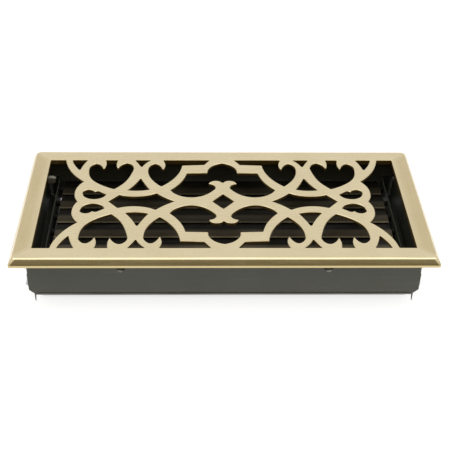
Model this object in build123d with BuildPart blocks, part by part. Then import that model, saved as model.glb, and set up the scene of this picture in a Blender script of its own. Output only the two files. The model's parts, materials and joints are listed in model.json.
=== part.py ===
from build123d import *
import os
from math import cos, radians, sin

os.makedirs("parts", exist_ok=True)

# A cast-brass floor register with a louvred damper, in millimetres.
# X runs along the face, Y across it, Z up. The origin is under the middle of the register,
# at the height of the points of the box's four corner feet.

# --- overall ---
HEIGHT = 45.5            # points of the feet to the flat top face
FACE_LENGTH = 323.2      # outline of the lip
FACE_WIDTH = 172.4
WINDOW_LENGTH = 291.5    # opening that the scrollwork fills
WINDOW_WIDTH = 137.5

# --- cast face ---
LIP_DEPTH = 6.5          # top face down to the lip's lower edge
LIP_EDGE = 1.8           # upright edge of the lip
LIP_CORNER = 1.8         # corner radius of the lip's outline
BEVEL_RUN = 2.9          # lip's outline in to the top face
TOP_CORNER = 4.0         # corner radius of the top face
TOP_ROUND = 2.2          # rounded edge between the top face and the bevel
PLATE_THICK = 4.4        # frame round the window
SCROLL_THICK = 2.4
RIM_WALL = 3.4           # lip's thickness, measured in from the outline
RIM_CORNER = 1.0
EDGE_SOFTEN = 0.45       # softened upper edges of the scrollwork
CORNER_ROUND = 0.6       # corners of the openings in plan
RECESS_CORNER = 1.5      # corners of the recess under the scrollwork

# --- sheet-steel damper box ---
BOX_LENGTH = 300.6
BOX_WIDTH = 146.0
SHEET = 0.8
BOX_BASE = 5.5           # lower edge of the walls
TUCK = 0.8               # the ends lean in by this much below TUCK_Z
TUCK_Z = 24.0
CLIP_X = 5.4             # clipped lower corners of the long walls
CLIP_Z = 4.4
CORNER_BEND = 1.6        # outside radius of the folded corners
CORNER_FLAP = 11.0       # long wall folded round the corner
FLAP_GAP = 1.2           # corner flap to the end wall's flange
FLANGE = 6.0             # fastening flange that the face is screwed to
FLANGE_INSET = 2.0       # flange of a long wall stops this far from each corner
END_BEND = 1.0           # bends of the end walls
BEAD_HEIGHT = 1.7        # rolled bead along the lower edges of the long walls
BEAD_PROUD = 0.8
BEAD_ROUND = 0.75
BEAD_INSET = 1.0         # bead stops short of the clipped corners
FOOT_X = 144.9           # points of the corner feet
FOOT_ROOT = 1.4
FOOT_TIP = 0.5
LANCE_X = 79.0           # half-moon tabs pressed out of the long walls
LANCE_Z = 29.5           # their upper edge, where the slot opens
LANCE_RADIUS = 3.4
LANCE_PROUD = 1.8
LANCE_SLOT = 2.1         # radius of the half-moon slot behind a tab, less than the tab's hollow
FIT_GAP = 0.2            # gap between sheets that meet edge to face, and beside pin collars

# --- louvres ---
SLATS = 6
PITCH = 22.5
PIVOT_Z = 23.1
SWING = 80.0             # closed to open
SLAT_WIDTH = 24.6
SLAT_THICK = 0.6
SLAT_LEFT = -134.6       # outer faces of the slats' end ears
SLAT_RIGHT = 135.3
BLADE_RISE = 3.0         # blade above its pivot axis
STEP_AT = 3.0            # pressed step behind the pivot, which stiffens the blade
STEP_RUN = 1.2
STEP_DROP = 0.5
STEP_BEND = 0.9
CURL_AT = -3.0           # the front of the blade curls down from here
CURL_RADIUS = 21.2
CURL_ANGLE = 26.0
TILT = 7.0               # closed slats lie with their front edge raised
CRANK = 8.0              # pivot axis to tie-bar pin
CRANK_WIDTH = 5.6
EAR_THICK = 0.8
EAR_RADIUS = 3.1         # round the pivot pin
PIN_RADIUS = 1.6
TIE_PIN_RADIUS = 1.2
RUNNING_FIT = 0.05
OPEN_FIT = 0.2           # tie-bar pins of the slats that don't carry the tie bar's joint
COLLAR_RADIUS = 2.4
STAKE = 0.7              # staked pin heads
PIN_END = 0.4            # right pins stand this far out of their bracket
TIE_BAR_HEIGHT = 5.0
TIE_BAR_X = -135.0       # tie bar's face next to the slats' ears
TIE_HEAD = 0.6           # tie-bar pins' heads
TIE_HEAD_RADIUS = 2.1
TIE_PLAY = 0.3           # crank's end play on its tie-bar pin

# --- end brackets, lever ---
BRACKET_X = 138.6        # inner faces of the two pivot brackets
BRACKET_BASE = 11.0
BRACKET_TOP = 28.5
BRACKET_FOOT = 6.5       # feet welded to the long walls
BRACKET_BEND = 1.2
LEVER_X = -140.0         # lever's face next to the bracket
LEVER_WIDTH = 4.4
KNOB_NECK_X = -142.4
KNOB_END_X = -147.2
KNOB_TOP = 12.8          # above the pivot axis
KNOB_HEIGHT = 5.6
KNOB_DEPTH = 4.4
KNOB_CORNER = 0.7
NECK_HEIGHT = 4.0
NECK_DEPTH = 2.8
GRIP_PITCH = 1.5         # grip grooves across the front and back of the knob
GRIP_WIDTH = 0.6
GRIP_DEPTH = 0.4

# --- fasteners ---
SCREW_RADIUS = 1.5
SCREW_HOLE = 1.6
SCREW_HEAD_RADIUS = 2.4
SCREW_HEAD = 1.5
SCREW_HEAD_ROUND = 0.5
SCREW_GRIP = 2.2         # length held in the casting
SCREW_OUT = 3.1          # screws stand this far outside the box walls
SCREW_PITCH = 110.0
DRIVER_SLOT = 0.7
DRIVER_DEPTH = 0.6
RIVET_RADIUS = 1.6
RIVET_HEAD = 2.7
RIVET_HEAD_TALL = 1.0
RIVET_TAIL = 2.2         # formed end inside the box
RIVET_TAIL_TALL = 0.8
RIVET_Y = 67.0
RIVET_ZS = (28.0, 35.2)

BOX_X = BOX_LENGTH / 2
BOX_Y = BOX_WIDTH / 2
FACE_UNDER = HEIGHT - PLATE_THICK
FLAP_TOP = FACE_UNDER - SHEET - FLAP_GAP
PIVOTS_Y = [PITCH * ((SLATS - 1) / 2 - i) for i in range(SLATS)]
CRANK_LEAN = SWING / 2 + TILT    # in the slat's own frame, so the tie bar never nears the pivots
RIVET_SPOTS = [(side * RIVET_Y, z) for side in (-1, 1) for z in RIVET_ZS]
SCREW_SPOTS = [(x, side * (BOX_Y + SCREW_OUT)) for side in (-1, 1) for x in (-SCREW_PITCH, 0, SCREW_PITCH)]
SCREW_SPOTS += [(side * (BOX_X + SCREW_OUT), 0) for side in (-1, 1)]
WINDOW_X = WINDOW_LENGTH / 2
WINDOW_Y = WINDOW_WIDTH / 2


def finish(builder, name):
    """Label one finished piece and write its STEP file."""
    builder.part.label = name
    export_step(builder.part, f"parts/{name}.step")


def opening(*runs):
    """One opening of the scrollwork: a run of 2 points is a line, 3 an arc, more a curve."""
    with BuildSketch(mode=Mode.PRIVATE) as hole:
        with BuildLine():
            for run in runs:
                if len(run) == 2:
                    Line(*run)
                elif len(run) == 3:
                    ThreePointArc(*run)
                else:
                    Spline(*run)
        make_face()
    return hole.sketch


# --- scrollwork: the openings of the left rear quarter, about the middle of the face ---
QUARTER_OPENINGS = {
    "end_gap": [
        [(-117.1, 0), (-120.6, 14), (-114.4, 32)],
        [(-114.4, 32), (-127.0, 50), (-132.5, WINDOW_Y)],
        [(-132.5, WINDOW_Y), (-WINDOW_X, WINDOW_Y)],
        [(-WINDOW_X, WINDOW_Y), (-WINDOW_X, 0)],
        [(-WINDOW_X, 0), (-117.1, 0)],
    ],
    "corner_web": [
        [(-127.2, WINDOW_Y), (-124.4, 60), (-119.4, 50.6)],
        [(-119.4, 50.6), (-117.6, 59), (-114.0, WINDOW_Y)],
        [(-114.0, WINDOW_Y), (-127.2, WINDOW_Y)],
    ],
    "tulip": [
        [(-98.9, WINDOW_Y), (-97.9, 60), (-100.2, 51.0)],
        [(-100.2, 51.0), (-101.6, 58.2), (-106.0, 62.2), (-110.6, 58.2), (-111.8, 50.3), (-108.4, 36.2),
         (-98.5, 25.2), (-88.9, 19.3)],
        [(-88.9, 19.3), (-80.6, 31.2), (-75.3, 48.5), (-75.6, 59.4), (-80.0, 63.2), (-84.6, 60.2),
         (-86.9, 52.0)],
        [(-86.9, 52.0), (-89.2, 60.4), (-88.5, WINDOW_Y)],
        [(-88.5, WINDOW_Y), (-98.9, WINDOW_Y)],
    ],
    "upper_web": [
        [(-74.0, WINDOW_Y), (-70.8, 62.6), (-67.8, 55.6)],
        [(-67.8, 55.6), (-65.2, 62.0), (-59.8, WINDOW_Y)],
        [(-59.8, WINDOW_Y), (-74.0, WINDOW_Y)],
    ],
    "lower_web": [
        [(-67.9, 38.4), (-72.0, 27.9), (-78.2, 17.6)],
        [(-78.2, 17.6), (-68.8, 16.7), (-59.6, 18.6)],
        [(-59.6, 18.6), (-64.0, 28.0), (-67.9, 38.4)],
    ],
    "half_tulip": [
        [(-50.0, WINDOW_Y), (-48.0, 60), (-50.4, 50.3)],
        [(-50.4, 50.3), (-52.2, 58.4), (-56.5, 62.2), (-61.0, 57.8), (-62.2, 50.4), (-59.0, 36.6),
         (-50.5, 23.7)],
        [(-50.5, 23.7), (-40.4, 37.0), (-33.9, 59.0)],
        [(-33.9, 59.0), (-15.3, 60.1)],
        [(-15.3, 60.1), (-10.2, WINDOW_Y)],
        [(-10.2, WINDOW_Y), (-50.0, WINDOW_Y)],
    ],
    "centre_bell": [
        [(0, 63.2), (-8.1, 58.7), (-12.4, 46.5)],
        [(-12.4, 46.5), (-29.8, 45.9)],
        [(-29.8, 45.9), (-34.2, 31.6), (-42.8, 18.4)],
        [(-42.8, 18.4), (-35.6, 9.2), (-26.2, 6.1), (-17.0, 8.4), (-8.4, 16.6), (-5.9, 22.4), (-7.6, 26.4),
         (-11.6, 28.2)],
        [(-11.6, 28.2), (-6.6, 33.0), (0, 29.2)],
        [(0, 29.2), (0, 63.2)],
    ],
    "centre_diamond": [
        [(-8.9, 0), (-4.9, 5.4), (0, 11.9)],
        [(0, 11.9), (0, 0)],
        [(0, 0), (-8.9, 0)],
    ],
    "shuttle": [
        [(-92.4, 0), (-84.2, 10.5)],
        [(-84.2, 10.5), (-70.6, 7.7), (-54.0, 13.2)],
        [(-54.0, 13.2), (-47.4, 6.4), (-38.8, 0)],
        [(-38.8, 0), (-92.4, 0)],
    ],
    "bean": [
        [(-104.4, 14.0), (-109.0, 18.6), (-113.7, 12.0)],
        [(-113.7, 12.0), (-106.0, 3.5), (-94.8, 11.2)],
        [(-94.8, 11.2), (-100.8, 16.2)],
        [(-100.8, 16.2), (-103.2, 15.9), (-104.4, 14.0)],
    ],
}

with BuildPart() as brass_grille:
    with BuildSketch(Plane.XY.offset(HEIGHT - LIP_DEPTH)):
        RectangleRounded(FACE_LENGTH, FACE_WIDTH, LIP_CORNER)
    extrude(amount=LIP_EDGE)
    # bevel up to the top face, then its rounded edge
    with BuildSketch(Plane.XY.offset(HEIGHT - LIP_DEPTH + LIP_EDGE)):
        RectangleRounded(FACE_LENGTH, FACE_WIDTH, LIP_CORNER)
    with BuildSketch(Plane.XY.offset(HEIGHT)):
        RectangleRounded(FACE_LENGTH - 2 * BEVEL_RUN, FACE_WIDTH - 2 * BEVEL_RUN, TOP_CORNER)
    loft(ruled=True)
    fillet(brass_grille.faces().sort_by(Axis.Z)[-1].outer_wire().edges(), radius=TOP_ROUND)
    # hollow under the frame, and the thinner scrollwork
    with BuildSketch(Plane.XY.offset(HEIGHT - LIP_DEPTH)):
        RectangleRounded(FACE_LENGTH - 2 * RIM_WALL, FACE_WIDTH - 2 * RIM_WALL, RIM_CORNER)
    extrude(amount=LIP_DEPTH - PLATE_THICK, mode=Mode.SUBTRACT)
    with BuildSketch(Plane.XY.offset(FACE_UNDER)):
        RectangleRounded(WINDOW_LENGTH, WINDOW_WIDTH, RECESS_CORNER)
    extrude(amount=PLATE_THICK - SCROLL_THICK, mode=Mode.SUBTRACT)
    with BuildSketch(Plane.XY.offset(HEIGHT)) as scroll_openings:
        for runs in QUARTER_OPENINGS.values():
            add(opening(*runs))
        mirror(about=Plane.YZ)
        mirror(about=Plane.XZ)
        fillet(scroll_openings.vertices(), radius=CORNER_ROUND)
    extrude(amount=-PLATE_THICK, mode=Mode.SUBTRACT)
    scroll_edges = brass_grille.faces().sort_by(Axis.Z)[-1].inner_wires().edges()
    chamfer(scroll_edges, length=EDGE_SOFTEN)
    with BuildSketch(Plane.XY.offset(FACE_UNDER)):
        with Locations(*SCREW_SPOTS):
            Circle(SCREW_RADIUS)
    extrude(amount=SCREW_GRIP, mode=Mode.SUBTRACT)
finish(brass_grille, "brass_grille")

# --- damper box ---
lance_sphere = (LANCE_RADIUS**2 + LANCE_PROUD**2) / (2 * LANCE_PROUD)
with BuildPart() as lance:
    Sphere(lance_sphere)
    Sphere(lance_sphere - SHEET, mode=Mode.SUBTRACT)
    split(bisect_by=Plane.XY, keep=Keep.BOTTOM)
    split(bisect_by=Plane.XZ.offset(lance_sphere - LANCE_PROUD), keep=Keep.TOP)

for name, side in (("front_wall", -1), ("back_wall", 1)):
    wall_x = BOX_X - SHEET / 2
    wall_y = side * (BOX_Y - SHEET / 2)
    with BuildPart() as wall:
        # upper part of the panel, folded round both corners
        with BuildSketch(Plane.XY.offset(TUCK_Z)):
            with BuildLine():
                FilletPolyline(
                    (-wall_x, side * (BOX_Y - CORNER_FLAP)),
                    (-wall_x, wall_y),
                    (wall_x, wall_y),
                    (wall_x, side * (BOX_Y - CORNER_FLAP)),
                    radius=CORNER_BEND - SHEET / 2,
                )
            trace(line_width=SHEET)
        extrude(amount=FLAP_TOP - TUCK_Z)
        # flat edges above and below the flaps, the lower one tucked in and clipped at its corners
        with BuildSketch(Plane.XZ.offset(-wall_y)):
            with BuildLine():
                Polyline(
                    (BOX_X - CORNER_BEND, FACE_UNDER),
                    (BOX_X - CORNER_BEND, TUCK_Z),
                    (BOX_X, TUCK_Z),
                    (BOX_X - TUCK, BOX_BASE + CLIP_Z),
                    (BOX_X - TUCK - CLIP_X, BOX_BASE),
                    (0, BOX_BASE),
                    (0, FACE_UNDER),
                    close=True,
                )
            make_face()
            mirror(about=Plane.YZ)
        extrude(amount=SHEET / 2, both=True)
        # flange, turned outwards under the face
        with BuildSketch(Plane.XY.offset(FACE_UNDER - SHEET)):
            with Locations((0, side * (BOX_Y + (FLANGE - SHEET) / 2))):
                Rectangle(BOX_LENGTH - 2 * FLANGE_INSET, FLANGE + SHEET)
            with Locations(*SCREW_SPOTS):
                Circle(SCREW_HOLE, mode=Mode.SUBTRACT)
        extrude(amount=SHEET)
        # rolled bead along the lower edge
        bead_length = BOX_LENGTH - 2 * (TUCK + CLIP_X + BEAD_INSET)
        with BuildSketch(Plane.YZ.offset(-bead_length / 2)):
            with Locations((side * (BOX_Y + (BEAD_PROUD - SHEET) / 2), BOX_BASE + BEAD_HEIGHT / 2)):
                RectangleRounded(BEAD_PROUD + SHEET, BEAD_HEIGHT, BEAD_ROUND)
        extrude(amount=bead_length)
        # pointed corner feet, rooted in the clipped corners
        with BuildSketch(Plane.XZ.offset(-wall_y)):
            with BuildLine():
                Polyline(
                    (FOOT_X - FOOT_ROOT / 2, BOX_BASE + 1),
                    (FOOT_X + FOOT_ROOT / 2, BOX_BASE + 3),
                    (FOOT_X + FOOT_TIP / 2, 0),
                    (FOOT_X - FOOT_TIP / 2, 0),
                    close=True,
                )
            make_face()
            mirror(about=Plane.YZ)
        extrude(amount=SHEET / 2, both=True)
        # half-moon tabs and the slots behind them
        with BuildSketch(Plane.XZ.offset(-wall_y)):
            with Locations((-LANCE_X, LANCE_Z), (LANCE_X, LANCE_Z)):
                Circle(LANCE_SLOT)
                Rectangle(2 * LANCE_SLOT, LANCE_SLOT, align=(Align.CENTER, Align.MIN), mode=Mode.SUBTRACT)
        extrude(amount=SHEET, both=True, mode=Mode.SUBTRACT)
        tab = lance.part if side < 0 else lance.part.mirror(Plane.XZ)
        tab_y = side * (BOX_Y - lance_sphere + LANCE_PROUD)
        with Locations((-LANCE_X, tab_y, LANCE_Z), (LANCE_X, tab_y, LANCE_Z)):
            add(tab)
        # rivet holes in the corner flaps
        with BuildSketch(Plane.YZ):
            with Locations(*RIVET_SPOTS):
                Circle(RIVET_RADIUS)
        extrude(amount=BOX_LENGTH, both=True, mode=Mode.SUBTRACT)
    finish(wall, name)

for name, side in (("left_end_wall", -1), ("right_end_wall", 1)):
    end_x = side * (BOX_X - 1.5 * SHEET)
    with BuildPart() as wall:
        # flange, upright wall and the sloping foot that follows the clipped corners
        with BuildSketch(Plane.XZ):
            with BuildLine():
                FilletPolyline(
                    (side * (BOX_X + FLANGE), FACE_UNDER - SHEET / 2),
                    (end_x, FACE_UNDER - SHEET / 2),
                    (end_x, TUCK_Z),
                    (end_x - side * TUCK, BOX_BASE + CLIP_Z),
                    (end_x - side * (TUCK + CLIP_X - SHEET), BOX_BASE + SHEET),
                    radius=END_BEND,
                )
            trace(line_width=SHEET)
        extrude(amount=BOX_Y - CORNER_BEND - FIT_GAP, both=True)
        with BuildSketch(Plane.XY.offset(FACE_UNDER)):
            with Locations(*SCREW_SPOTS):
                Circle(SCREW_HOLE)
        extrude(amount=-2 * SHEET, mode=Mode.SUBTRACT)
        with BuildSketch(Plane.YZ):
            with Locations(*RIVET_SPOTS):
                Circle(RIVET_RADIUS)
        extrude(amount=BOX_LENGTH, both=True, mode=Mode.SUBTRACT)
    finish(wall, name)

for name, side in (("left_pivot_bracket", -1), ("right_pivot_bracket", 1)):
    web_x = side * (BRACKET_X + SHEET / 2)
    foot_y = BOX_Y - 1.5 * SHEET
    with BuildPart() as bracket:
        with BuildSketch(Plane.XY.offset(BRACKET_BASE)):
            with BuildLine():
                FilletPolyline(
                    (web_x + side * BRACKET_FOOT, -foot_y),
                    (web_x, -foot_y),
                    (web_x, foot_y),
                    (web_x + side * BRACKET_FOOT, foot_y),
                    radius=BRACKET_BEND,
                )
            trace(line_width=SHEET)
        extrude(amount=BRACKET_TOP - BRACKET_BASE)
        with BuildSketch(Plane.YZ):
            with Locations(*[(y, PIVOT_Z) for y in PIVOTS_Y]):
                Circle(PIN_RADIUS + RUNNING_FIT)
        extrude(amount=BOX_LENGTH, both=True, mode=Mode.SUBTRACT)
    finish(bracket, name)


def stepped_pin(start_x, y, z, *steps):
    """A turned pin along X from (length, radius) steps; a negative length runs towards -X."""
    with BuildPart(mode=Mode.PRIVATE) as pin:
        x = start_x
        for length, radius in steps:
            with BuildSketch(Plane.YZ.offset(x)):
                with Locations((y, z)):
                    Circle(radius)
            extrude(amount=length)
            x += length
    return pin.part


with BuildPart() as corner_rivets:
    for side in (-1, 1):
        for y, z in RIVET_SPOTS:
            add(
                stepped_pin(
                    side * (BOX_X - 2 * SHEET - RIVET_TAIL_TALL), y, z,
                    (side * RIVET_TAIL_TALL, RIVET_TAIL),
                    (side * 2 * SHEET, RIVET_RADIUS),
                    (side * RIVET_HEAD_TALL, RIVET_HEAD),
                )
            )
    rivet_faces = corner_rivets.faces().filter_by(Axis.X)
    outer_faces = rivet_faces.filter_by(lambda face: abs(face.center().X) > BOX_X + RIVET_HEAD_TALL / 2)
    fillet(outer_faces.edges(), radius=0.7 * RIVET_HEAD_TALL)
finish(corner_rivets, "corner_rivets")

with BuildPart() as flange_screws:
    head_top = FACE_UNDER - SHEET
    with BuildSketch(Plane.XY.offset(head_top)):
        with Locations(*SCREW_SPOTS):
            Circle(SCREW_RADIUS)
    extrude(amount=SHEET + SCREW_GRIP)
    with BuildSketch(Plane.XY.offset(head_top)):
        with Locations(*SCREW_SPOTS):
            Circle(SCREW_HEAD_RADIUS)
    extrude(amount=-SCREW_HEAD)
    fillet(flange_screws.faces().filter_by(Axis.Z).group_by(Axis.Z)[0].edges(), radius=SCREW_HEAD_ROUND)
    with BuildSketch(Plane.XY.offset(head_top - SCREW_HEAD)):
        with Locations(*SCREW_SPOTS):
            Rectangle(2 * SCREW_HEAD_RADIUS, DRIVER_SLOT)
    extrude(amount=DRIVER_DEPTH, mode=Mode.SUBTRACT)
finish(flange_screws, "flange_screws")


# --- louvres ---
def slat_plane(x, pivot_y):
    """The plane across a slat at x, with its origin on the pivot axis and its X along the blade."""
    tilt = radians(TILT)
    return Plane(origin=(x, pivot_y, PIVOT_Z), x_dir=(0, cos(tilt), -sin(tilt)), z_dir=(1, 0, 0))


crank_end = (CRANK * sin(radians(CRANK_LEAN)), -CRANK * cos(radians(CRANK_LEAN)))

for number, pivot_y in enumerate(PIVOTS_Y, start=1):
    tie_fit = RUNNING_FIT if number == 1 else OPEN_FIT
    with BuildPart() as slat:
        half = SLAT_WIDTH / 2
        with BuildSketch(slat_plane(SLAT_LEFT, pivot_y)):
            with BuildLine():
                FilletPolyline(
                    (half, BLADE_RISE - STEP_DROP),
                    (STEP_AT + STEP_RUN, BLADE_RISE - STEP_DROP),
                    (STEP_AT, BLADE_RISE),
                    (CURL_AT, BLADE_RISE),
                    radius=STEP_BEND,
                )
                JernArc((CURL_AT, BLADE_RISE), (-1, 0), CURL_RADIUS, CURL_ANGLE)
            trace(line_width=SLAT_THICK)
        extrude(amount=SLAT_RIGHT - SLAT_LEFT)
        # end ears; the left one carries the crank that the tie bar turns
        for ear_x in (SLAT_LEFT, SLAT_RIGHT - EAR_THICK):
            with BuildSketch(slat_plane(ear_x, pivot_y)):
                with BuildLine():
                    Polyline(
                        (-2.6, BLADE_RISE),
                        (STEP_AT, BLADE_RISE),
                        (8.0, BLADE_RISE - STEP_DROP),
                        (8.0, 1.7),
                        (2.9, -1.0),
                        (-2.9, -1.0),
                        close=True,
                    )
                make_face()
                Circle(EAR_RADIUS)
                if ear_x == SLAT_LEFT:
                    with Locations((crank_end[0] / 2, crank_end[1] / 2)):
                        SlotCenterToCenter(CRANK, CRANK_WIDTH, rotation=CRANK_LEAN - 90)
                    with Locations(crank_end):
                        Circle(TIE_PIN_RADIUS + tie_fit, mode=Mode.SUBTRACT)
                Circle(PIN_RADIUS, mode=Mode.SUBTRACT)
            extrude(amount=EAR_THICK)
    finish(slat, f"louvre_{number}")

    left_steps = [
        (-STAKE, COLLAR_RADIUS),
        (-EAR_THICK, PIN_RADIUS),
        (FIT_GAP - BRACKET_X - SLAT_LEFT, COLLAR_RADIUS),
        (-SHEET - 2 * FIT_GAP, PIN_RADIUS),
    ]
    if number == 1:
        left_steps += [
            (LEVER_X + BRACKET_X + SHEET + FIT_GAP, COLLAR_RADIUS),
            (-SHEET, PIN_RADIUS),
            (-STAKE, COLLAR_RADIUS),
        ]
    right_steps = [
        (STAKE, COLLAR_RADIUS),
        (EAR_THICK, PIN_RADIUS),
        (BRACKET_X - FIT_GAP - SLAT_RIGHT, COLLAR_RADIUS),
        (FIT_GAP + SHEET + PIN_END, PIN_RADIUS),
    ]
    with BuildPart() as pins:
        add(stepped_pin(SLAT_LEFT + EAR_THICK + STAKE, pivot_y, PIVOT_Z, *left_steps))
        add(stepped_pin(SLAT_RIGHT - EAR_THICK - STAKE, pivot_y, PIVOT_Z, *right_steps))
    finish(pins, f"louvre_{number}_pins")

# --- tie bar: it joins the six cranks, and carries its own six pins ---
tie_spots = [slat_plane(0, y).from_local_coords((*crank_end, 0)) for y in PIVOTS_Y]
with BuildPart() as tie_bar:
    with BuildSketch(Plane.YZ.offset(TIE_BAR_X)):
        with Locations(((tie_spots[0].Y + tie_spots[-1].Y) / 2, tie_spots[0].Z)):
            SlotCenterToCenter(PITCH * (SLATS - 1), TIE_BAR_HEIGHT)
        with Locations(*[(spot.Y, spot.Z) for spot in tie_spots]):
            Circle(TIE_PIN_RADIUS, mode=Mode.SUBTRACT)
    extrude(amount=-SHEET)
finish(tie_bar, "tie_bar")

with BuildPart() as tie_bar_pins:
    for spot in tie_spots:
        add(
            stepped_pin(
                TIE_BAR_X - SHEET - TIE_HEAD, spot.Y, spot.Z,
                (TIE_HEAD, TIE_HEAD_RADIUS),
                (SHEET + SLAT_LEFT + EAR_THICK + TIE_PLAY - TIE_BAR_X, TIE_PIN_RADIUS),
                (TIE_HEAD, TIE_HEAD_RADIUS),
            )
        )
finish(tie_bar_pins, "tie_bar_pins")

# --- thumb lever on the rear slat's pin ---
with BuildPart() as lever_arm:
    reach = KNOB_TOP - LEVER_WIDTH / 2 - KNOB_CORNER
    with BuildSketch(Plane.YZ.offset(LEVER_X)):
        with Locations((PIVOTS_Y[0], PIVOT_Z + reach / 2)):
            SlotCenterToCenter(reach, LEVER_WIDTH, rotation=90)
        with Locations((PIVOTS_Y[0], PIVOT_Z)):
            Circle(PIN_RADIUS, mode=Mode.SUBTRACT)
    extrude(amount=-SHEET)
finish(lever_arm, "lever_arm")

with BuildPart() as lever_knob:
    knob_mid = PIVOT_Z + KNOB_TOP - KNOB_HEIGHT / 2
    with BuildSketch(Plane.YZ.offset(LEVER_X - SHEET)):
        with Locations((PIVOTS_Y[0], knob_mid)):
            Rectangle(NECK_DEPTH, NECK_HEIGHT)
    extrude(amount=KNOB_NECK_X - LEVER_X + SHEET)
    with BuildSketch(Plane.YZ.offset(KNOB_NECK_X)):
        with Locations((PIVOTS_Y[0], knob_mid)):
            RectangleRounded(KNOB_DEPTH, KNOB_HEIGHT, KNOB_CORNER)
    extrude(amount=KNOB_END_X - KNOB_NECK_X)
    groove_x = (KNOB_END_X + KNOB_NECK_X) / 2
    for groove in (-1, 0, 1):
        for face_y in (-KNOB_DEPTH / 2, KNOB_DEPTH / 2):
            with Locations((groove_x, PIVOTS_Y[0] + face_y, knob_mid + groove * GRIP_PITCH)):
                Box(KNOB_NECK_X - KNOB_END_X, 2 * GRIP_DEPTH, GRIP_WIDTH, mode=Mode.SUBTRACT)
finish(lever_knob, "lever_knob")
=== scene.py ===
import json
import math

import bpy
from mathutils import Matrix, Vector


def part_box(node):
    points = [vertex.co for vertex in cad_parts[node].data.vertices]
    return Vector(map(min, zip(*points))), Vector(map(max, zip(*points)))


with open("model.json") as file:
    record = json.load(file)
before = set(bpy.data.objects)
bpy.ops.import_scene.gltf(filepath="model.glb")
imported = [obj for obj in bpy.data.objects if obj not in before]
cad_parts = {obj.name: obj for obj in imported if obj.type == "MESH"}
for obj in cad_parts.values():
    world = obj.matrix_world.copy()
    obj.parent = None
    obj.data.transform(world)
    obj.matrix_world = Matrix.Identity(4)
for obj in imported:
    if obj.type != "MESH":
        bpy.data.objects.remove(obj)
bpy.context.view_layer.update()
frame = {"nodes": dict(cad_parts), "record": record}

# Looks of a cast-brass floor register with a louvred damper box. Metres, in the CAD's own frame.

# --- places read from the frame ---
nodes = frame["nodes"]
face_low, face_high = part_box("brass_grille")
TOP_Z = face_high.z
BOX_HALF_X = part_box("right_end_wall")[1].x
BOX_HALF_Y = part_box("back_wall")[1].y

# --- places on the pieces where a finish changes ---
WINDOW_HALF_X = 0.14575  # middle of the face to the edges of its window
WINDOW_HALF_Y = 0.06875
WINDOW_SLACK = 0.0008    # faces this little past the window's edge still belong to its walls
RIM_FROM = 0.008         # the rim is what lies further than this past the window's edge
BEVEL_TOP = 0.0012       # depths under the top face between which the painted shade on the brass deepens
BEVEL_FOOT = 0.0048
INNER_HALF_X = 0.146     # steel within these reaches is inside the box
INNER_HALF_Y = 0.0715
FACING_IN = -0.01        # x times the normal's x, below which an end wall's face looks inward
PROUD_FROM_Y = 0.0733    # the bead and the pressed tabs stand proud of the long walls
PROUD_TO_Y = 0.0738
TAB_RIM_TOP = 0.0290     # heights between which the painted highlight on a tab's lower rim begins
TAB_RIM_FOOT = 0.0281
LOW_LIGHT_TOP = 0.030         # painted light: the paint grows paler from here down
LOW_LIGHT_FOOT = 0.008


# --- node helpers ---
class Graph:
    """Short calls for the nodes of one node tree."""

    def __init__(self, tree):
        self.tree = tree

    def node(self, kind, **settings):
        made = self.tree.nodes.new(kind)
        for key, value in settings.items():
            setattr(made, key, value)
        return made

    def feed(self, socket, value):
        """Links an output to a socket, or sets a plain value on it."""
        if isinstance(value, bpy.types.NodeSocket):
            self.tree.links.new(value, socket)
        else:
            socket.default_value = value

    def math(self, operation, a, b=0.0):
        made = self.node("ShaderNodeMath", operation=operation)
        self.feed(made.inputs[0], a)
        self.feed(made.inputs[1], b)
        return made.outputs[0]

    def remap(self, value, low, high, to_low=0.0, to_high=1.0):
        made = self.node("ShaderNodeMapRange")
        self.feed(made.inputs["Value"], value)
        self.feed(made.inputs["From Min"], low)
        self.feed(made.inputs["From Max"], high)
        self.feed(made.inputs["To Min"], to_low)
        self.feed(made.inputs["To Max"], to_high)
        return made.outputs["Result"]

    def blend(self, factor, a, b):
        """A colour between a and b."""
        made = self.node("ShaderNodeMix", data_type="RGBA")
        self.feed(made.inputs["Factor"], factor)
        self.feed(made.inputs["A"], a if isinstance(a, bpy.types.NodeSocket) else (*a, 1.0))
        self.feed(made.inputs["B"], b if isinstance(b, bpy.types.NodeSocket) else (*b, 1.0))
        return made.outputs["Result"]

    def pick(self, factor, a, b):
        """A number between a and b."""
        made = self.node("ShaderNodeMix", data_type="FLOAT")
        self.feed(made.inputs["Factor"], factor)
        self.feed(made.inputs["A"], a)
        self.feed(made.inputs["B"], b)
        return made.outputs["Result"]

    def axes(self, vector):
        made = self.node("ShaderNodeSeparateXYZ")
        self.feed(made.inputs[0], vector)
        return made.outputs


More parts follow.
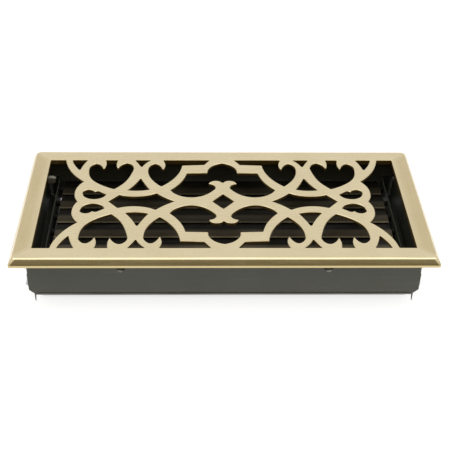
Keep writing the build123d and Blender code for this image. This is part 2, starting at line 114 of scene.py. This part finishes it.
class Shader(Graph):
    """A Principled material, with the object's own coordinates as its place."""

    def __init__(self, name):
        self.material = bpy.data.materials.new(name)
        self.material.use_nodes = True
        super().__init__(self.material.node_tree)
        self.bsdf = self.tree.nodes["Principled BSDF"]
        self.place = self.node("ShaderNodeTexCoord").outputs["Object"]

    def put(self, name, value):
        self.feed(self.bsdf.inputs[name], value)

    def normal_axes(self):
        """The surface normal's parts, in the object's own axes."""
        return self.axes(self.node("ShaderNodeTexCoord").outputs["Normal"])

    def stretched(self, scale):
        """Object coordinates scaled along each axis, so a noise is drawn out along the small ones."""
        made = self.node("ShaderNodeMapping")
        self.feed(made.inputs["Vector"], self.place)
        made.inputs["Scale"].default_value = scale
        return made.outputs[0]

    def noise(self, vector, scale=1.0, detail=3.0, roughness=0.55):
        made = self.node("ShaderNodeTexNoise")
        self.feed(made.inputs["Vector"], vector)
        made.inputs["Scale"].default_value = scale
        made.inputs["Detail"].default_value = detail
        made.inputs["Roughness"].default_value = roughness
        return made.outputs["Fac"]

    def bump(self, height, distance, strength=1.0, under=None):
        made = self.node("ShaderNodeBump")
        made.inputs["Strength"].default_value = strength
        made.inputs["Distance"].default_value = distance
        self.feed(made.inputs["Height"], height)
        if under is not None:
            self.feed(made.inputs["Normal"], under)
        return made.outputs[0]


# --- brass ---
BRASS_DEEP = (0.735, 0.615, 0.365)
BRASS_MID = (0.785, 0.66, 0.405)
BRASS_PALE = (0.84, 0.74, 0.51)
# the side tone below is painted shade
BRASS_SIDE_SHADE = (0.42, 0.30, 0.09)
# the rim tone below is painted shade
BRASS_RIM_SHADE = (0.41, 0.31, 0.105)
BRASS_CAST = (0.34, 0.215, 0.060)
GRAIN_ALONG = 26         # noise scale along the grain, across it, and downward
GRAIN_ACROSS = 2600
GRAIN_DOWN = 900
SIDE_SHARE = 0.36        # how far the side borders go to their painted shade
RIM_SHARE = 0.55         # how far the rim goes to its painted shade
RIM_GRAIN = 0.35         # the grain is fainter on the rim


def brass_material():
    s = Shader("lacquered_brass")
    x, y, z = s.axes(s.place)
    # straight grain runs along each border, mitred at the corners
    past_x = s.math("SUBTRACT", s.math("ABSOLUTE", x), WINDOW_HALF_X)
    past_y = s.math("SUBTRACT", s.math("ABSOLUTE", y), WINDOW_HALF_Y)
    beyond_y = s.math("MAXIMUM", past_y, 0.0)
    is_side = s.math("GREATER_THAN", past_x, beyond_y)
    along_x = s.noise(s.stretched((GRAIN_ALONG, GRAIN_ACROSS, GRAIN_DOWN)), detail=4)
    along_y = s.noise(s.stretched((GRAIN_ACROSS, GRAIN_ALONG, GRAIN_DOWN)), detail=4)
    grain = s.pick(is_side, along_x, along_y)
    patch = s.noise(s.place, scale=38, detail=3)
    tint = s.blend(s.remap(patch, 0.35, 0.68), BRASS_DEEP, BRASS_MID)
    tint = s.blend(s.remap(grain, 0.3, 0.75, 0.0, 0.35), tint, BRASS_PALE)
    # painted shade: the two side borders are darkened against the front and rear ones, for how light
    # falls on them
    side_shade = s.remap(s.math("SUBTRACT", past_x, beyond_y), -0.002, 0.006)
    tint = s.blend(s.math("MULTIPLY", side_shade, SIDE_SHARE), tint, BRASS_SIDE_SHADE)
    # painted shade: the rim is darkened too, more and more toward the foot of the bevel and on the lip
    rim_shade_depth = s.remap(z, TOP_Z - BEVEL_TOP, TOP_Z - BEVEL_FOOT)
    rim = s.math("GREATER_THAN", s.math("MAXIMUM", past_x, past_y), RIM_FROM)
    rim_shade = s.math("MULTIPLY", rim_shade_depth, rim)
    tint = s.blend(s.math("MULTIPLY", rim_shade, RIM_SHARE), tint, BRASS_RIM_SHADE)
    # walls of the scrollwork and the underside are left as cast
    nz = s.normal_axes()["Z"]
    upright = s.remap(s.math("ABSOLUTE", nz), 0.15, 0.5, 1.0, 0.0)
    within_x = s.math("LESS_THAN", past_x, WINDOW_SLACK)
    within_y = s.math("LESS_THAN", past_y, WINDOW_SLACK)
    scroll_wall = s.math("MULTIPLY", upright, s.math("MULTIPLY", within_x, within_y))
    cast = s.math("MAXIMUM", scroll_wall, s.remap(nz, -0.5, -0.8))
    s.put("Base Color", s.blend(cast, tint, BRASS_CAST))
    s.bsdf.inputs["Metallic"].default_value = 1.0
    polish = s.remap(grain, 0.25, 0.8, 0.20, 0.36)
    s.put("Roughness", s.pick(cast, polish, 0.5))
    s.bsdf.inputs["Coat Weight"].default_value = 0.4
    s.bsdf.inputs["Coat Roughness"].default_value = 0.12
    sand = s.noise(s.place, scale=1400, detail=2)
    fine = s.bump(s.math("MULTIPLY", grain, s.pick(rim, 1.0, RIM_GRAIN)), 0.00003, 0.35)
    s.put("Normal", s.bump(s.math("MULTIPLY", sand, cast), 0.00012, 0.6, under=fine))
    return s.material


# --- paint ---
# the first colour below is a painted highlight on the parts that stand proud
PROUD_HIGHLIGHT = (0.34, 0.34, 0.30)
# a painted light for the lower part of the box's outside
PAINT_LOW_LIGHT = (0.115, 0.116, 0.092)
ROUGH_SPREAD = 0.07      # a paint's roughness varies by this much either way


def paint_material(name, low, high, rough, scuff, inner_shade=None):
    """Sprayed paint. The faces that look into the box can get a darker, duller tint, which is painted
    shade.
    """
    s = Shader(name)
    cloud = s.noise(s.place, scale=22, detail=4)
    tint = s.blend(s.remap(cloud, 0.3, 0.7), low, high)
    streak = s.noise(s.stretched((14, 500, 500)), detail=4)
    tint = s.blend(s.remap(streak, 0.58, 0.8, 0.0, 0.25), tint, scuff)
    if inner_shade is None:
        s.bsdf.inputs["Specular IOR Level"].default_value = 0.06
    else:
        x, y, z = s.axes(s.place)
        facing_in = s.math("MULTIPLY", x, s.normal_axes()["X"])
        deep_x = s.math("LESS_THAN", s.math("ABSOLUTE", x), INNER_HALF_X)
        deep_y = s.math("LESS_THAN", s.math("ABSOLUTE", y), INNER_HALF_Y)
        deep = s.math("MULTIPLY", deep_x, deep_y)
        inside = s.math("MAXIMUM", deep, s.math("LESS_THAN", facing_in, FACING_IN))
        # painted shade: the faces inside the box, and those that look into it, take the darker tint
        tint = s.blend(inside, tint, inner_shade)
        # painted highlight: the bead and the pressed tabs' lower rims stand proud and are painted
        # paler, broken up by noise
        out_far = s.remap(s.math("ABSOLUTE", y), PROUD_FROM_Y, PROUD_TO_Y)
        proud = s.math("MULTIPLY", out_far, s.remap(z, TAB_RIM_TOP, TAB_RIM_FOOT))
        highlight_breakup = s.remap(s.noise(s.stretched((16, 300, 300)), detail=4), 0.35, 0.6, 0.35, 1.0)
        tint = s.blend(s.math("MULTIPLY", proud, highlight_breakup), tint, PROUD_HIGHLIGHT)
        # painted light: the lower half of the outside is a little paler, as floor light would make it
        low_light = s.remap(z, LOW_LIGHT_TOP, LOW_LIGHT_FOOT, 0.0, 0.28)
        low_down = s.math("MULTIPLY", low_light, s.math("SUBTRACT", 1.0, inside))
        tint = s.blend(low_down, tint, PAINT_LOW_LIGHT)
        s.put("Specular IOR Level", s.pick(inside, 0.45, 0.05))
    s.put("Base Color", tint)
    uneven = s.noise(s.place, scale=90, detail=3)
    s.put("Roughness", s.remap(uneven, 0.3, 0.7, rough - ROUGH_SPREAD, rough + ROUGH_SPREAD))
    peel = s.noise(s.place, scale=650, detail=2)
    s.put("Normal", s.bump(peel, 0.00006, 0.5))
    return s.material


# --- louvres ---
SLAT_DARK = (0.0050, 0.0044, 0.0030)
# painted light on the slats' front part, and a painted highlight along their front edge
SLAT_LIT = (0.098, 0.080, 0.047)
SLAT_EDGE_HIGHLIGHT = (0.42, 0.36, 0.22)
SLAT_DUST = (0.045, 0.040, 0.028)
SLAT_SHEEN = (1.0, 0.84, 0.58, 1.0)
REAR_FALL = 0.85         # how much of the painted light is lost from the front of the face to its rear


def louvre_material(node):
    """Dark enamel, with painted light: paler toward the slat's curled front edge, with a painted
    highlight along that edge.

    The front slats are paler than the rear ones. That stands in for light that falls off toward the
    rear: on the real register the slats are presumably alike.
    """
    low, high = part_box(node)
    light_falloff = (1.0 - REAR_FALL * (low.y - face_low.y) / (face_high.y - face_low.y)) ** 2
    s = Shader(node + "_enamel")
    drift = s.math("MULTIPLY", s.noise(s.stretched((9, 60, 60))), 0.0012)
    across = s.remap(s.math("ADD", s.axes(s.place)["Y"], drift), low.y, high.y)
    # painted light and painted highlight, both fading toward the rear slats
    tint = s.blend(s.remap(across, 0.34, 0.50, light_falloff, 0.0), SLAT_DARK, SLAT_LIT)
    tint = s.blend(s.remap(across, 0.04, 0.09, 0.95 * light_falloff, 0.0), tint, SLAT_EDGE_HIGHLIGHT)
    dust = s.noise(s.stretched((24, 420, 420)), detail=4)
    tint = s.blend(s.remap(dust, 0.5, 0.8, 0.0, 0.25), tint, SLAT_DUST)
    s.put("Base Color", tint)
    s.put("Roughness", s.remap(s.noise(s.place, scale=90), 0.3, 0.7, 0.34, 0.5))
    # the specular strength is painted the same way: stronger on the front part of the front slats
    s.put("Specular IOR Level", s.remap(across, 0.30, 0.50, 0.26 * light_falloff, 0.06))
    s.bsdf.inputs["Specular Tint"].default_value = SLAT_SHEEN
    s.put("Normal", s.bump(s.noise(s.place, scale=650, detail=2), 0.00006, 0.4))
    return s.material


# --- zinc and plastic ---
def zinc_material():
    s = Shader("zinc_plate")
    cell = s.node("ShaderNodeTexVoronoi", feature="F1")
    s.feed(cell.inputs["Vector"], s.place)
    cell.inputs["Scale"].default_value = 700
    shade = s.axes(cell.outputs["Color"])[0]
    s.put("Base Color", s.blend(shade, (0.42, 0.42, 0.40), (0.60, 0.60, 0.57)))
    s.bsdf.inputs["Metallic"].default_value = 1.0
    s.put("Roughness", s.remap(s.noise(s.place, scale=900), 0.3, 0.7, 0.32, 0.5))
    s.put("Normal", s.bump(s.noise(s.stretched((300, 2400, 2400))), 0.00003, 0.4))
    return s.material


def knob_material():
    s = Shader("knob_plastic")
    mottle = s.noise(s.place, scale=500)
    s.put("Base Color", s.blend(mottle, (0.22, 0.22, 0.175), (0.29, 0.28, 0.22)))
    s.put("Roughness", s.remap(s.noise(s.place, scale=900), 0.3, 0.7, 0.42, 0.6))
    s.put("Normal", s.bump(s.noise(s.place, scale=2600), 0.00004, 0.4))
    return s.material


# --- finishes, by the record's material slots ---
finishes = {
    "brass": brass_material(),
    "box_paint": paint_material(
        "box_paint",
        low=(0.049, 0.050, 0.038),
        high=(0.062, 0.063, 0.049),
        rough=0.42,
        scuff=(0.16, 0.16, 0.14),
        inner_shade=(0.034, 0.036, 0.026),
    ),
    "zinc_steel": zinc_material(),
    "black_steel": paint_material(
        "black_steel",
        low=(0.006, 0.006, 0.005),
        high=(0.011, 0.010, 0.009),
        rough=0.68,
        scuff=(0.025, 0.025, 0.022),
    ),
    "knob_plastic": knob_material(),
}
for part in frame["record"]["subparts"]:
    mesh = nodes[part["node"]].data
    mesh.materials.clear()
    slot = part["material_slot"]
    mesh.materials.append(louvre_material(part["node"]) if slot == "louvre_paint" else finishes[slot])


# --- floor ---
FLOOR_SIZE = 12
FLOOR_GLOW = 0.82
FLOOR_PALE = (0.36, 0.36, 0.355)
FLOOR_PALER = (0.38, 0.38, 0.38)
# the colour of the painted shadow under the box
FLOOR_SHADOW = (0.08, 0.08, 0.08)
UNDER_EDGE = 0.012       # the painted shadow under the box ends this far inside the outer faces of the long walls
UNDER_CORNER = 0.016     # its front corners are cut off by this much
UNDER_FADE = 0.003       # its edge at the front and at the two ends is this soft
REAR_FADE = 0.034        # its rear edge is this soft
END_SOFT = 0.008         # the rear edge starts to draw in this far inside the ends
END_DRAW = 2.0           # and draws in by this much for each metre past that


def floor_material():
    """A pale floor that glows, with a painted shadow under the box: dark, so no glow comes up through
    it.
    """
    s = Shader("studio_floor")
    s.bsdf.inputs["Roughness"].default_value = 0.6
    place = s.axes(s.place)
    clear_x = s.math("SUBTRACT", s.math("ABSOLUTE", place["X"]), BOX_HALF_X)
    forward = s.math("MULTIPLY", place["Y"], -1.0)
    in_front = s.math("SUBTRACT", forward, BOX_HALF_Y - UNDER_EDGE)
    near_end = s.math("MAXIMUM", s.math("ADD", clear_x, END_SOFT), 0.0)
    rear_depth = s.math("SUBTRACT", place["Y"], BOX_HALF_Y - UNDER_EDGE)
    drawn_in = s.math("ADD", rear_depth, s.math("MULTIPLY", near_end, END_DRAW))
    behind = s.remap(drawn_in, 0.0, REAR_FADE)
    corner = s.math("ADD", clear_x, s.math("ADD", in_front, UNDER_CORNER))
    furthest = s.math("MAXIMUM", s.math("MAXIMUM", clear_x, in_front), corner)
    outside = s.math("MAXIMUM", behind, s.remap(furthest, -UNDER_FADE, 0.0))
    pale = s.blend(s.noise(s.place, scale=3), FLOOR_PALE, FLOOR_PALER)
    # painted shadow: a dark base and no glow under the box, fading out at its edges
    s.put("Base Color", s.blend(outside, FLOOR_SHADOW, pale))
    s.bsdf.inputs["Emission Color"].default_value = (1, 1, 1, 1)
    s.put("Emission Strength", s.math("MULTIPLY", outside, FLOOR_GLOW))
    return s.material


bpy.ops.mesh.primitive_grid_add(x_subdivisions=2, y_subdivisions=2, size=FLOOR_SIZE, location=(0, 0, 0))
floor = bpy.context.object
floor.name = "studio_floor"
floor.data.materials.append(floor_material())


# --- light ---
LIGHT_SCALE = 3.0        # the world's strength; the levels below are shares of it once divided
WHITE = (1.0, 1.0, 1.0)
WARM = (1.0, 0.90, 0.62)
END_LEVEL = 0.75         # level toward the two ends
END_FROM = 0.50          # sideways part of the direction where the end level begins, and is reached
END_TO = 0.85
# place on the arc over the object, from the backdrop (0) through overhead (0.5) to the front (1);
# the level there; its hue
ARC_STEPS = (
    (0.0, 0.95, WHITE),
    (0.18, 0.81, WHITE),
    (0.30, 0.95, WHITE),
    (0.40, 1.9, WHITE),
    (0.58, 1.9, WHITE),
    (0.70, 0.36, WARM),
    (0.84, 0.20, WARM),
    (1.0, 0.14, WARM),
)


def studio_world():
    """A soft overhead band of light, which gives way to a plain soft level toward the two ends."""
    world = bpy.data.worlds.new("studio")
    world.use_nodes = True
    sky = Graph(world.node_tree)
    x, y, z = sky.axes(sky.node("ShaderNodeTexCoord").outputs["Generated"])
    ramp = sky.node("ShaderNodeValToRGB")
    sky.feed(ramp.inputs["Fac"], sky.math("DIVIDE", sky.math("ARCTAN2", z, y), math.pi))
    points = ramp.color_ramp.elements
    while len(points) < len(ARC_STEPS):
        points.new(0.5)
    for point, (at, level, hue) in zip(points, ARC_STEPS):
        point.position = at
        point.color = (*(level / LIGHT_SCALE * part for part in hue), 1)
    sideways = sky.remap(sky.math("ABSOLUTE", x), END_FROM, END_TO)
    end_grey = END_LEVEL / LIGHT_SCALE
    light = sky.blend(sideways, ramp.outputs["Color"], (end_grey, end_grey, end_grey))
    background = world.node_tree.nodes["Background"]
    sky.feed(background.inputs["Color"], light)
    background.inputs["Strength"].default_value = LIGHT_SCALE
    return world


bpy.context.scene.world = studio_world()

# --- camera ---
SENSOR = 36
LENS = 91.84
NEAR = 0.01
FAR = 50
EYE = Vector((-0.02063, -0.79359, 0.51868))
AIM = Vector((0.00063, -0.0371, 0.04596))
ROLL = 0.84              # degrees
camera_data = bpy.data.cameras.new("camera")
camera_data.sensor_width = SENSOR
camera_data.lens = LENS
camera_data.clip_start = NEAR
camera_data.clip_end = FAR
camera = bpy.data.objects.new("camera", camera_data)
bpy.context.collection.objects.link(camera)
camera.rotation_mode = "QUATERNION"
turn = (AIM - EYE).to_track_quat("-Z", "Y").to_matrix().to_4x4()
camera.matrix_world = Matrix.Translation(EYE) @ turn @ Matrix.Rotation(math.radians(ROLL), 4, "Z")
bpy.context.scene.camera = camera
bpy.context.scene.view_settings.view_transform = "Standard"
